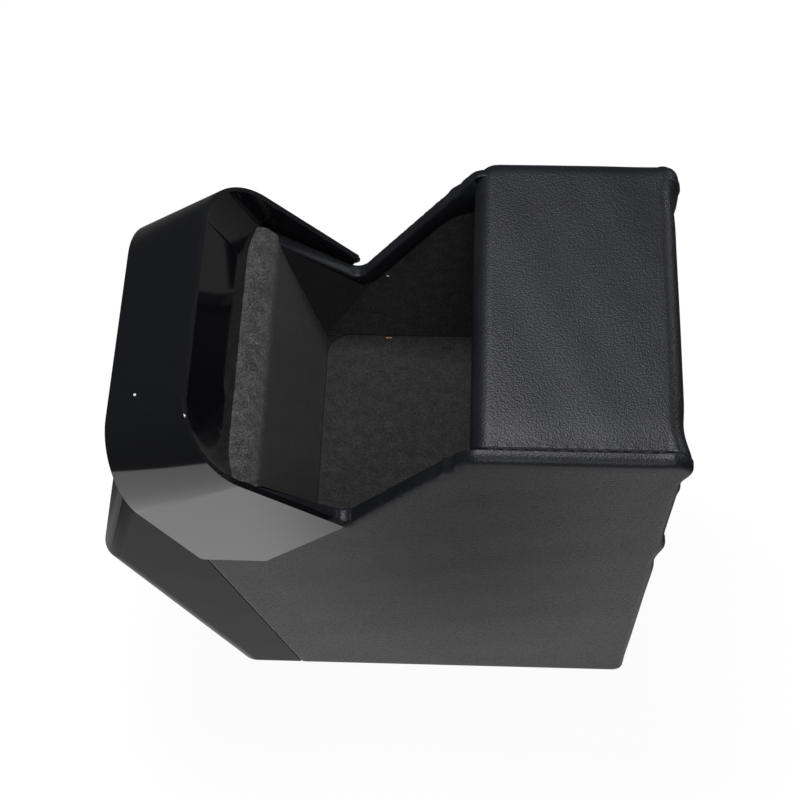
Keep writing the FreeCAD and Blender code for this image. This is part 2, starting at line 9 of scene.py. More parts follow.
import bpy
import numpy as np
from mathutils import Matrix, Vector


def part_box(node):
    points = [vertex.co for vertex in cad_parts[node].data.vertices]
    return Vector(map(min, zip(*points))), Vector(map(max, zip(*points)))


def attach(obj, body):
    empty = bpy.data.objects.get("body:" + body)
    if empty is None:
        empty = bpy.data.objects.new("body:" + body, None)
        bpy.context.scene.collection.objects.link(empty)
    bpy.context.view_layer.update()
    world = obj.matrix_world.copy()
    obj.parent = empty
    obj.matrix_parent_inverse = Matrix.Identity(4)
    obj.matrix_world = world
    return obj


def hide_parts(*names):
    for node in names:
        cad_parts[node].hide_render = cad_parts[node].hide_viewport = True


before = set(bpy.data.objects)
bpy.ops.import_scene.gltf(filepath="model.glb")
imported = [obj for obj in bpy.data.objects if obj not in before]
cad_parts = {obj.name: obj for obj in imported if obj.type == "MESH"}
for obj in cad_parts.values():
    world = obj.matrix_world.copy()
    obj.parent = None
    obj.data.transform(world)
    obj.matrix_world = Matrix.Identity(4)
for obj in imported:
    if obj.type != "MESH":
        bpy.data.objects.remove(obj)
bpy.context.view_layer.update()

MM = 0.001
LOG = logging.getLogger("console_box")

Tree = bpy.types.NodeTree
Socket = bpy.types.NodeSocket
Pair = tuple[float, float]
Triple = tuple[float, float, float]


class Side(Enum):
    """The two sides of the box; the value is the sign of Y."""

    LEFT = -1
    RIGHT = 1


class Slot(Enum):
    """Names of the record's material slots."""

    LEATHERETTE = "leatherette"
    FELT = "felt"


class Edge(IntEnum):
    """Edges of a side's outline, in the order of the corners that they start from."""

    TOP = 0
    REAR = 1
    FOOT = 2
    FRONT = 3
    ARM_END = 4
    ARM_TOP = 5
    NOTCH = 6


def linear(code: str) -> tuple[float, float, float, float]:
    """Turns an sRGB hex colour into linear light by the standard sRGB curve.

    Args:
        code: six hex digits, with or without a leading mark.

    Returns:
        Red, green, blue and an alpha of one.
    """
    digits = code.lstrip("#")
    parts = [int(digits[k:k + 2], 16) / 255 for k in (0, 2, 4)]
    red, green, blue = [p / 12.92 if p <= 0.04045 else ((p + 0.055) / 1.055) ** 2.4 for p in parts]
    return red, green, blue, 1.0


def node(tree: Tree, kind: str, settings: dict | None = None, links: dict | None = None) -> bpy.types.Node:
    """Adds one node with its settings and links.

    Args:
        tree: the node tree.
        kind: Blender's name of the node type.
        settings: values by property name or input socket name.
        links: output sockets by input socket name or number.

    Returns:
        The new node.
    """
    item = tree.nodes.new(kind)
    for name, value in (settings or {}).items():
        if hasattr(item, name):
            setattr(item, name, value)
        else:
            item.inputs[name].default_value = value
    for name, socket in (links or {}).items():
        tree.links.new(socket, item.inputs[name])
    return item


def ramp(tree: Tree, factor: Socket, stops: Sequence[tuple[float, str]]) -> Socket:
    """Colour ramp through hex colours.

    Args:
        tree: the node tree.
        factor: the socket that drives the ramp.
        stops: places from 0 to 1 and their colours.

    Returns:
        The colour socket.
    """
    item = node(tree, "ShaderNodeValToRGB", links={"Fac": factor})
    elements = item.color_ramp.elements
    while len(elements) < len(stops):
        elements.new(1.0)
    for element, (place, code) in zip(elements, stops):
        element.position = place
        element.color = linear(code)
    return item.outputs["Color"]


@dataclass(frozen=True)
class Finish:
    """A material named for what it is made of; the subclasses add their pattern."""

    name: str
    colour: str
    roughness: float

    def build(self) -> bpy.types.Material:
        """Makes the material with its shader and pattern.

        Returns:
            The material.
        """
        material = bpy.data.materials.new(self.name)
        material.use_nodes = True
        tree = material.node_tree
        tree.nodes.clear()
        settings = {"Base Color": linear(self.colour), "Roughness": self.roughness}
        shader = node(tree, "ShaderNodeBsdfPrincipled", settings)
        node(tree, "ShaderNodeOutputMaterial", links={"Surface": shader.outputs["BSDF"]})
        self.pattern(tree, shader, node(tree, "ShaderNodeTexCoord").outputs["Object"])
        return material

    def pattern(self, tree: Tree, shader: bpy.types.Node, place: Socket) -> None:
        """Adds nothing in the plain finish.

        Args:
            tree: the node tree.
            shader: the surface shader.
            place: object coordinates in metres.
        """


@dataclass(frozen=True)
class Leatherette(Finish):
    """Embossed vinyl: rounded pebbles between narrow creases, with painted shade where it is tucked into a
    seam.
    """

    pebble_mm: float = 1.05
    relief_mm: float = 0.12
    shade_mm: float = 26.3
    warp_rate: float = 0.6
    warp_reach: float = 0.7
    crease_at: float = 0.75
    crown_at: float = 0.1
    crease_roughness: float = 0.14
    shine: float = 0.21
    worn_colour: str = "#14151a"
    # Near black of the painted shade in the seams
    painted_seam_shade: str = "#030304"

    def pattern(self, tree: Tree, shader: bpy.types.Node, place: Socket) -> None:
        """Pebbles from a warped cell pattern, a slow change of tone, and painted shade in the seams.

        Args:
            tree: the node tree.
            shader: the surface shader.
            place: object coordinates in metres.
        """
        cells = 1 / (self.pebble_mm * MM)
        warp = node(tree, "ShaderNodeTexNoise", {"Scale": cells * self.warp_rate, "Detail": 2.0},
                    {"Vector": place})
        offset = node(tree, "ShaderNodeVectorMath", {"operation": "MULTIPLY_ADD"},
                      {0: warp.outputs["Color"], 2: place})
        offset.inputs[1].default_value = (self.warp_reach * self.pebble_mm * MM,) * 3
        cell = node(tree, "ShaderNodeTexVoronoi", {"feature": "SMOOTH_F1", "Scale": cells, "Smoothness": 0.5},
                    {"Vector": offset.outputs["Vector"]})
        dome = node(tree, "ShaderNodeMapRange", {"From Min": self.crease_at, "From Max": self.crown_at},
                    {"Value": cell.outputs["Distance"]})
        slow = node(tree, "ShaderNodeTexNoise", {"Scale": 1 / (self.shade_mm * MM), "Detail": 3.0},
                    {"Vector": place})
        tone = ramp(tree, slow.outputs["Fac"], [(0.25, self.colour), (0.8, self.worn_colour)])
        # Painted shade: the per-point attribute darkens the tone towards near black where the cover is tucked
        # into a seam
        painted_shade_and_highlight = node(tree, "ShaderNodeAttribute", {"attribute_name": "painted_shade_and_highlight"})
        base = node(tree, "ShaderNodeMix", {"data_type": "RGBA"}, {0: painted_shade_and_highlight.outputs["Fac"], 6: tone})
        base.inputs[7].default_value = linear(self.painted_seam_shade)
        tree.links.new(base.outputs[2], shader.inputs["Base Color"])
        rough = node(tree, "ShaderNodeMapRange",
                     {"To Min": self.roughness + self.crease_roughness, "To Max": self.roughness},
                     {"Value": dome.outputs["Result"]})
        tree.links.new(rough.outputs["Result"], shader.inputs["Roughness"])
        shader.inputs["Specular IOR Level"].default_value = self.shine
        bump = node(tree, "ShaderNodeBump", {"Strength": 0.9, "Distance": self.relief_mm * MM},
                    {"Height": dome.outputs["Result"]})
        tree.links.new(bump.outputs["Normal"], shader.inputs["Normal"])


@dataclass(frozen=True)
class Felt(Finish):
    """Needled felt: matted fibres in several greys with a soft edge.

    Single fibres are too fine to show, so tufts of about a millimetre stand for them.
    """

    fibre_mm: float = 1.1
    patch_mm: float = 6.67
    relief_mm: float = 0.5
    patch_share: float = 0.22
    stops: Triple = (0.42, 0.6, 0.8)
    deep: str = "#08080a"
    light: str = "#3c3b3a"
    # Pale grey of the painted highlight over the front wall's top edge
    painted_highlight_colour: str = "#5c5a58"
    sheen_colour: str = "#8a8784"
    sheen: float = 0.25
    shine: float = 0.15

    def pattern(self, tree: Tree, shader: bpy.types.Node, place: Socket) -> None:
        """Two sizes of fibre noise in colour and relief, with a painted highlight over an edge.

        Args:
            tree: the node tree.
            shader: the surface shader.
            place: object coordinates in metres.
        """
        fine = node(tree, "ShaderNodeTexNoise",
                    {"Scale": 1 / (self.fibre_mm * MM), "Detail": 5.0, "Roughness": 0.75, "Distortion": 1.4},
                    {"Vector": place})
        broad = node(tree, "ShaderNodeTexNoise", {"Scale": 1 / (self.patch_mm * MM), "Detail": 3.0},
                     {"Vector": place})
        both = node(tree, "ShaderNodeMath", {"operation": "MULTIPLY_ADD"},
                    {0: broad.outputs["Fac"], 2: fine.outputs["Fac"]})
        both.inputs[1].default_value = self.patch_share
        greys = ((self.deep, self.colour, self.light), (self.colour, self.light, self.painted_highlight_colour))
        tone, painted_highlight = [ramp(tree, both.outputs["Value"], list(zip(self.stops, three))) for three in greys]
        # Painted highlight: the per-point attribute mixes in the paler ramp
        edge = node(tree, "ShaderNodeAttribute", {"attribute_name": "painted_shade_and_highlight"})
        base = node(tree, "ShaderNodeMix", {"data_type": "RGBA"}, {0: edge.outputs["Fac"], 6: tone, 7: painted_highlight})
        tree.links.new(base.outputs[2], shader.inputs["Base Color"])
        bump = node(tree, "ShaderNodeBump", {"Strength": 0.9, "Distance": self.relief_mm * MM},
                    {"Height": fine.outputs["Fac"]})
        tree.links.new(bump.outputs["Normal"], shader.inputs["Normal"])
        shader.inputs["Sheen Weight"].default_value = self.sheen
        shader.inputs["Sheen Roughness"].default_value = 0.6
        shader.inputs["Sheen Tint"].default_value = linear(self.sheen_colour)
        shader.inputs["Specular IOR Level"].default_value = self.shine


@dataclass(frozen=True)
class Gloss(Finish):
    """Moulded black plastic with a faint haze of dust and handling."""

    index: float
    haze_mm: float = 33.3
    haze: float = 0.07

    def pattern(self, tree: Tree, shader: bpy.types.Node, place: Socket) -> None:
        """Roughness that varies a little over the surface.

        Args:
            tree: the node tree.
            shader: the surface shader.
            place: object coordinates in metres.
        """
        cloud = node(tree, "ShaderNodeTexNoise", {"Scale": 1 / (self.haze_mm * MM), "Detail": 4.0},
                     {"Vector": place})
        rough = node(tree, "ShaderNodeMapRange",
                     {"To Min": self.roughness, "To Max": self.roughness + self.haze},
                     {"Value": cloud.outputs["Fac"]})
        tree.links.new(rough.outputs["Result"], shader.inputs["Roughness"])
        shader.inputs["IOR"].default_value = self.index


@dataclass(frozen=True)
class Plywood(Finish):
    """Raw plywood with long grain."""

    dark: str = "#a67f52"
    grain_mm: Triple = (55.6, 3.85, 3.85)

    def pattern(self, tree: Tree, shader: bpy.types.Node, place: Socket) -> None:
        """Grain as noise stretched along the box.

        Args:
            tree: the node tree.
            shader: the surface shader.
            place: object coordinates in metres.
        """
        stretch = node(tree, "ShaderNodeVectorMath", {"operation": "MULTIPLY"}, {0: place})
        stretch.inputs[1].default_value = [1 / (size * MM) for size in self.grain_mm]
        grain = node(tree, "ShaderNodeTexNoise", {"Scale": 1.0, "Detail": 5.0, "Distortion": 0.6},
                     {"Vector": stretch.outputs["Vector"]})
        tone = ramp(tree, grain.outputs["Fac"], [(0.3, self.dark), (0.7, self.colour)])
        tree.links.new(tone, shader.inputs["Base Color"])


@dataclass(frozen=True)
class Metal(Finish):
    """Drawn steel wire."""

    def pattern(self, tree: Tree, shader: bpy.types.Node, place: Socket) -> None:
        """Full metal.

        Args:
            tree: the node tree.
            shader: the surface shader.
            place: object coordinates in metres.
        """
        shader.inputs["Metallic"].default_value = 1.0


@dataclass(frozen=True)
class TableTop(Finish):
    """Matt white table that looks evenly white and keeps a faint shadow.

    Shiny things show a pool of light on it, dimmed in front of the box. Places and reaches are in metres.
    """

    even: float = 0.95
    pool_at: Triple = (-0.25, -1.3, 0.0)
    pool_reach: Pair = (1.25, 1.38)
    pool_light: Pair = (1.15, 0.06)
    shade_at: Triple = (0.05, -0.23, 0.0)
    shade_reach: Pair = (0.04, 0.17)
    shade_light: Pair = (0.2, 1.0)

    def pattern(self, tree: Tree, shader: bpy.types.Node, place: Socket) -> None:
        """Mixes even white into what the eye, reflections and clear things see of the table.

        Args:
            tree: the node tree.
            shader: the surface shader.
            place: object coordinates in metres.
        """
        path = node(tree, "ShaderNodeLightPath")
        seen = node(tree, "ShaderNodeMath", {"operation": "ADD"},
                    {0: path.outputs["Is Camera Ray"], 1: path.outputs["Is Transmission Ray"]})
        every = node(tree, "ShaderNodeMath", {"operation": "ADD", "use_clamp": True},
                     {0: seen.outputs["Value"], 1: path.outputs["Is Glossy Ray"]})
        share = node(tree, "ShaderNodeMath", {"operation": "MULTIPLY"}, {0: every.outputs["Value"]})
        share.inputs[1].default_value = self.even
        pool = self.spot(tree, place, self.pool_at, self.pool_reach, self.pool_light)
        shade = self.spot(tree, place, self.shade_at, self.shade_reach, self.shade_light)
        dim = node(tree, "ShaderNodeMath", {"operation": "MULTIPLY"}, {0: pool, 1: shade})
        strength = node(tree, "ShaderNodeMix", {"data_type": "FLOAT"},
                        {0: seen.outputs["Value"], 2: dim.outputs["Value"]})
        strength.inputs[3].default_value = 1.0
        white = node(tree, "ShaderNodeEmission", {"Color": linear("#ffffff")},
                     {"Strength": strength.outputs[0]})
        both = node(tree, "ShaderNodeMixShader", None,
                    {0: share.outputs["Value"], 1: shader.outputs["BSDF"], 2: white.outputs["Emission"]})
        tree.links.new(both.outputs["Shader"], tree.get_output_node("ALL").inputs["Surface"])

    @staticmethod
    def spot(tree: Tree, place: Socket, centre: Triple, reach: Pair, light: Pair) -> Socket:
        """Light that changes smoothly with the distance from a place on the table.

        Args:
            tree: the node tree.
            place: object coordinates in metres.
            centre: the middle of the spot.
            reach: distances where the change starts and ends.
            light: strengths inside and outside.

        Returns:
            The strength socket.
        """
        away = node(tree, "ShaderNodeVectorMath", {"operation": "DISTANCE"}, {0: place})
        away.inputs[1].default_value = centre
        level = node(tree, "ShaderNodeMapRange", {
            "interpolation_type": "SMOOTHSTEP", "From Min": reach[0], "From Max": reach[1],
            "To Min": light[0], "To Max": light[1]}, {"Value": away.outputs["Value"]})
        return level.outputs["Result"]


@dataclass
class Patch:
    """A surface as rows and columns of points in millimetres.

    Each point may carry a share of painted light: painted shade in leather seams and a painted highlight on
    felt. The columns may close into rings, and a pole may fill the first ring.
    """

    points: np.ndarray
    painted_shade_and_highlight: np.ndarray | None = None
    wrap: bool = False
    pole: np.ndarray | None = None

    def faces(self, start: int) -> list[list[int]]:
        """Quads between neighbouring rows and columns, and a fan round the pole if there is one.

        Args:
            start: number of the first point.

        Returns:
            Corner numbers of each face.
        """
        rows, cols = self.points.shape[:2]
        index = start + np.arange(rows * cols).reshape(rows, cols)
        left = index if self.wrap else index[:, :-1]
        right = np.roll(index, -1, axis=1) if self.wrap else index[:, 1:]
        quads = np.stack([left[:-1], right[:-1], right[1:], left[1:]], axis=-1).reshape(-1, 4).tolist()
        if self.pole is not None:
            hub = np.full(cols, start + rows * cols)
            quads += np.stack([hub, np.roll(index[0], -1), index[0]], axis=-1).tolist()
        return quads

    def flat(self) -> tuple[np.ndarray, np.ndarray]:
        """All points and their painted light in a row, the pole last.

        Returns:
            Points in millimetres and their share of painted light.
        """
        points = self.points.reshape(-1, 3)
        painted_shade_and_highlight = np.broadcast_to(0.0 if self.painted_shade_and_highlight is None else self.painted_shade_and_highlight, self.points.shape[:2]).ravel()
        if self.pole is not None:
            points = np.vstack([points, self.pole])
            painted_shade_and_highlight = np.append(painted_shade_and_highlight, 0.0)
        return points, painted_shade_and_highlight


def build_object(name: str, patches: Sequence[Patch], material: bpy.types.Material) -> bpy.types.Object:
    """Joins patches into one smooth mesh object that rides on the frame.

    Args:
        name: name of the piece.
        patches: its surfaces.
        material: its material.

    Returns:
        The object.
    """
    points, painted_shades_and_highlights, faces = [], [], []
    count = 0
    for patch in patches:
        place, painted_shade_and_highlight = patch.flat()
        faces += patch.faces(count)
        points.append(place)
        painted_shades_and_highlights.append(painted_shade_and_highlight)
        count += len(place)
    mesh = bpy.data.meshes.new(name)
    mesh.from_pydata(((np.concatenate(points) + (BODY.shift, 0, 0)) * MM).tolist(), [], faces)
    mesh.polygons.foreach_set("use_smooth", np.ones(len(faces), dtype=bool))
    # Per-point painted light: painted shade in leather seams and a painted highlight on felt
    values = np.concatenate(painted_shades_and_highlights).astype(np.float32)
    mesh.attributes.new("painted_shade_and_highlight", "FLOAT", "POINT").data.foreach_set("value", values)
    mesh.update()
    mesh.materials.append(material)
    item = bpy.data.objects.new(name, mesh)
    bpy.context.scene.collection.objects.link(item)
    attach(item, "root")
    LOG.info("%s: %d points, %d faces", name, count, len(faces))
    return item


def bend(before: np.ndarray, here: np.ndarray, after: np.ndarray) -> tuple[np.ndarray, np.ndarray, float]:
    """Directions from a corner to its neighbours, and half the angle between them.

    Args:
        before: the corner before.
        here: the corner.
        after: the corner after.

    Returns:
        Unit vectors back and on, and the half angle in radians.
    """
    back, on = [(p - here) / np.linalg.norm(p - here) for p in (before, after)]
    return back, on, math.acos(float(np.clip(back @ on, -1, 1))) / 2


def rounded_path(corners: np.ndarray, radii: Sequence[float], step: float, closed: bool,
                 dense: float = 2.5) -> tuple[np.ndarray, np.ndarray]:
    """Samples a path with round corners: straight runs between tangent points and circle arcs at the corners.

    Args:
        corners: corner points, one pair a row.
        radii: corner radii; the ends of an open path ignore theirs.
        step: distance between samples.
        closed: whether the last corner joins the first.
        dense: how much closer together the samples of an arc are.

    Returns:
        Points along the path and, for each, the number of the edge that starts at the corner before it.
    """
    count = len(corners)
    pieces, marks = [], []
    for k in range(count):
        here, after = corners[k], corners[(k + 1) % count]
        inner = closed or 0 < k < count - 1
        start = here
        if inner:
            back, on, half = bend(corners[k - 1], here, after)
            run = radii[k] / math.tan(half)
            centre = here + (back + on) / np.linalg.norm(back + on) * radii[k] / math.sin(half)
            first, last = here + back * run, here + on * run
            turns = np.linspace(0, 1, max(3, int(radii[k] * (math.pi - 2 * half) / step * dense)))[:, None]
            chord = first - centre + (last - first) * turns
            pieces.append(centre + chord / np.linalg.norm(chord, axis=1)[:, None] * radii[k])
            marks.append(np.full(len(turns), k))
            start = last
        if closed or k < count - 1:
            end = after
            if closed or k + 1 < count - 1:
                back, _, half = bend(here, after, corners[(k + 2) % count])
                end = after + back * radii[(k + 1) % count] / math.tan(half)
            samples = max(2, int(np.linalg.norm(end - start) / step))
            along = np.linspace(0, 1, samples, endpoint=False)[1 if inner else 0:, None]
            pieces.append(start + (end - start) * along)
            marks.append(np.full(len(along), k))
    if not closed:
        pieces.append(corners[-1:])
        marks.append(np.full(1, count - 2))
    return np.concatenate(pieces), np.concatenate(marks)


def left_normals(points: np.ndarray, closed: bool) -> np.ndarray:
    """Unit normals on the left of a path, from the difference of the points on either side of each.

    Args:
        points: points along the path.
        closed: whether the path is closed.

    Returns:
        One unit vector a point.
    """
    if closed:
        along = np.roll(points, -1, axis=0) - np.roll(points, 1, axis=0)
    else:
        along = np.gradient(points, axis=0)
    along = along / np.linalg.norm(along, axis=1)[:, None]
    return np.stack([-along[:, 1], along[:, 0]], axis=1)


def smooth_ring(values: np.ndarray, width: int) -> np.ndarray:
    """Moving average round a closed row of values.

    Args:
        values: the row.
        width: how many neighbours on each side count.

    Returns:
        The smoothed row.
    """
    return np.mean([np.roll(values, k) for k in range(-width, width + 1)], axis=0)


def ripple(place: np.ndarray, lengths: Sequence[float], seed: int) -> np.ndarray:
    """Sum of sine waves of the given lengths with seeded phases, scaled to about one.

    Args:
        place: distances in millimetres, any shape.
        lengths: wavelengths in millimetres.
        seed: seed of the phases.

    Returns:
        Heights of the same shape.
    """
    phases = np.random.default_rng(seed).uniform(0, 2 * math.pi, len(lengths))
    waves = [np.sin(2 * math.pi * place / length + phase) for length, phase in zip(lengths, phases)]
    return np.sum(waves, axis=0) / len(lengths)


def bump_at(place: np.ndarray, centre: float, width: float | np.ndarray) -> np.ndarray:
    """Bell curve of height one.

    Args:
        place: distances in millimetres.
        centre: where its top is.
        width: its half width.

    Returns:
        Heights from 0 to 1.
    """
    return np.exp(-((place - centre) / width) ** 2)


@dataclass(frozen=True)
class Body:
    """Main sizes of the box in millimetres, with the deck's rear edge at rear_top, and its shared planes."""

    height: float = 335.0
    rear_top: float = 165.0
    rear_foot: float = 157.0
    deck_front: float = 49.0
    base_half: float = 73.0
    top_half: float = 100.0
    skin: float = 8.0
    floor: float = 187.0
    floor_board: float = 184.0

    @property
    def lean(self) -> float:
        """How far the sides lean out for each millimetre of height."""
        return (self.top_half - self.base_half) / self.height

    @property
    def angle(self) -> float:
        """Lean of the sides in radians."""
        return math.atan(self.lean)

    @property
    def stretch(self) -> float:
        """Distance up a side's slope for each millimetre of height."""
        return 1 / math.cos(self.angle)

    @property
    def shift(self) -> float:
        """How far the frame's rear edge lies behind the place used here."""
        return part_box("rear_cover")[1][0] / MM - self.rear_top

    def half(self, height: np.ndarray | float, depth: float = 0.0) -> np.ndarray | float:
        """Half the width at a height, less a depth square to the leaning side.

        Args:
            height: height above the floor.
            depth: distance in from the outer face.

        Returns:
            The half width.
        """
        return self.base_half + self.lean * height - depth * math.hypot(1, self.lean)

    def rear(self, height: np.ndarray | float) -> np.ndarray | float:
        """Place of the rear face at a height.

        Args:
            height: height above the floor.

        Returns:
            Its X.
        """
        return self.rear_foot + (self.rear_top - self.rear_foot) * height / self.height

    def on_side(self, side: Side, across: np.ndarray, up: np.ndarray, depth: np.ndarray) -> np.ndarray:
        """Points in the leaning plane of a side.

        Args:
            side: which side.
            across: X of the points.
            up: distance up the slope.
            depth: distance in from the outer face.

        Returns:
            Points with X, Y and Z in the last axis.
        """
        out = self.base_half + up * math.sin(self.angle) - depth * math.cos(self.angle)
        height = up * math.cos(self.angle) + depth * math.sin(self.angle)
        return np.stack(np.broadcast_arrays(across, side.value * out, height), axis=-1)


BODY = Body()


@dataclass(frozen=True)
class Outline:
    """A side's outline in its own plane, with one row or value for each point.

    Points, unit normals into the face, the roll radius, how much a point belongs to the notch, to its front
    arm and to the top edge, and how much further the rear edge is turned in.
    """

    flat: np.ndarray
    inward: np.ndarray
    roll: np.ndarray
    notch: np.ndarray
    arm: np.ndarray
    top: np.ndarray
    turned: np.ndarray


@dataclass
class SideCover:
    """Leatherette side: a flat face, rolled edges, turned in at the seams and over the notch.

    Radii belong to the corners and rolls to the edges, in the order of Edge. Each pull is a bell curve along
    the rear edge: how far the cover is pulled out, at which height and over which half width.
    """

    side: Side
    material: bpy.types.Material
    front_foot: float = -64.0
    arm_foot: Pair = (-118.0, 222.0)
    arm_tip: Pair = (-88.0, 285.0)
    notch_foot: Pair = (-22.0, 242.0)
    middle: Pair = (40.0, 130.0)
    radii: tuple[float, ...] = (11.0, 9.0, 8.0, 4.0, 5.0, 2.5, 8.0)
    rolls: tuple[float, ...] = (6.5, 4.5, 3.0, 2.5, 3.0, 3.6, 3.6)
    pulls: tuple[Triple, ...] = ((4.6, 324.0, 9.0), (0.8, 299.0, 5.0), (2.5, 219.0, 9.0), (-0.9, 196.0, 8.0))
    rear_wave: float = 0.15
    face_sink: float = 0.4
    top_ease: float = 0.35
    fold: float = 0.8
    notch_fold: float = 0.6
    tuck_in: float = 1.6
    rear_lap: float = 1.5
    notch_band: float = 9.0
    notch_lap: float = 2.7
    arm_band: float = 11.0
    corner_up: float = 328.0
    corner_band: float = 14.0
    pucker: float = 0.25
    gather: float = 1.2
    step: float = 1.9

    def edge(self) -> Outline:
        """Outline up the slope, pushed in and out where the cover is pulled round the rear edge and corners.

        The push is the sum of the pulls and a slow ripple along the rear edge.

        Returns:
            The outline.
        """
        corners = np.array([(BODY.deck_front, BODY.height), (BODY.rear_top, BODY.height),
                            (BODY.rear_foot, 0.0), (self.front_foot, 0.0),
                            self.arm_foot, self.arm_tip, self.notch_foot])
        flat, mark = rounded_path(corners, self.radii, self.step, True)
        inward = -left_normals(flat, True)
        notch = smooth_ring(np.isin(mark, (Edge.ARM_END, Edge.ARM_TOP, Edge.NOTCH)).astype(float), 4)
        rear = smooth_ring((mark == Edge.REAR).astype(float), 3)
        up = flat[:, 1]
        push = sum(out * bump_at(up, height, width) for out, height, width in self.pulls)
        push = push + self.rear_wave * ripple(up, (57.0, 88.0, 133.0), 3 + self.side.value)
        flat = flat - inward * (rear * push)[:, None]
        roll = smooth_ring(np.array(self.rolls)[mark], 6)
        arm, top = [smooth_ring((mark == edge).astype(float), 4) for edge in (Edge.ARM_TOP, Edge.TOP)]
        turned = rear * (np.maximum(push, 0) + self.rear_lap)
        return Outline(flat * (1, BODY.stretch), inward, roll, notch, arm, top, turned)

    def face(self, line: Outline, hub: np.ndarray) -> np.ndarray:
        """Rings from the middle to the start of the roll, sunk a little and rippled away from the edge.

        Args:
            line: the outline.
            hub: the middle, up the slope.

        Returns:
            Points of the rings.
        """
        part = np.linspace(0.06, 1, 34)[:, None, None]
        edge = line.flat + line.inward * (line.roll * (1 - self.top_ease * line.top))[:, None]
        rings = hub + (edge - hub) * part
        wave = 0.12 * ripple(rings[..., 0] + 0.6 * rings[..., 1], (61.0, 97.0, 143.0), 11)
        wave = wave + 0.1 * ripple(rings[..., 1] - 0.3 * rings[..., 0], (47.0, 83.0), 12)
        wave = (wave + self.face_sink) * np.clip((1 - part[..., 0]) * 6, 0, 1)
        return BODY.on_side(self.side, rings[..., 0], rings[..., 1], wave)

    def section(self, line: Outline) -> np.ndarray:
        """Section of the roll swept along the outline.

        It goes round a quarter circle, across the edge, round a small turn and in along the inner face.

        Args:
            line: the outline.

        Returns:
            Points of the swept rows.
        """
        turn = np.linspace(0, math.pi / 2, 8)[1:, None]
        fold = np.linspace(0, math.pi / 2, 5)[:, None]
        width = BODY.skin + self.notch_lap * line.notch
        small = self.fold + self.notch_fold * line.notch
        corner = bump_at(line.flat[:, 1], self.corner_up, 14) * line.notch
        inner = self.tuck_in + (self.notch_band - self.tuck_in) * line.notch + self.corner_band * corner
        inner = inner + (self.arm_band - self.notch_band) * line.arm + line.turned
        along = np.cumsum(np.linalg.norm(np.diff(line.flat, axis=0, prepend=line.flat[-1:]), axis=1))
        pucker = self.pucker * line.notch * ripple(along, (3.7, 5.3, 9.1), 7)
        pucker = pucker - self.gather * corner * ripple(along, (13.0, 19.0), 8)
        start = line.roll * (1 - self.top_ease * line.top)
        rows = [
            (start * (1 - np.sin(turn)) + pucker * np.sin(turn), line.roll * (1 - np.cos(turn))),
            (small * (1 - np.cos(fold)) + pucker, width - small + small * np.sin(fold)),
            (inner * np.ones((2, 1)), width - np.array([[0.0], [1.0]])),
        ]
        inset, depth = [np.concatenate([row[k] for row in rows]) for k in (0, 1)]
        at = line.flat + line.inward * inset[..., None]
        return BODY.on_side(self.side, at[..., 0], at[..., 1], depth)

    def build(self) -> bpy.types.Object:
        """Joins the face and the roll, paints shade on what is tucked in, and closes the middle with a pole.

        Returns:
            The piece.
        """
        line = self.edge()
        hub = np.array(self.middle) * (1, BODY.stretch)
        whole = np.concatenate([self.face(line, hub), self.section(line)])
        # Painted shade: on the near side the turned-in rows away from the notch, and on both sides the cut
        # edge
        painted_shade_and_highlight = np.zeros(whole.shape[:2])
        if self.side is Side.LEFT:
            painted_shade_and_highlight[-4:] = (0.9 * (1 - line.notch))[None, :]
        painted_shade_and_highlight[-1:] = 0.7
        if self.side is Side.LEFT:
            whole, painted_shade_and_highlight = whole[:, ::-1], painted_shade_and_highlight[:, ::-1]
        pole = BODY.on_side(self.side, *[np.array(v) for v in (hub[0], hub[1], self.face_sink)])
        word = self.side.name.lower()
        item = build_object(f"leather_side_{word}", [Patch(whole, painted_shade_and_highlight, True, pole)], self.material)
        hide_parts(f"side_cover_{word}")
        return item


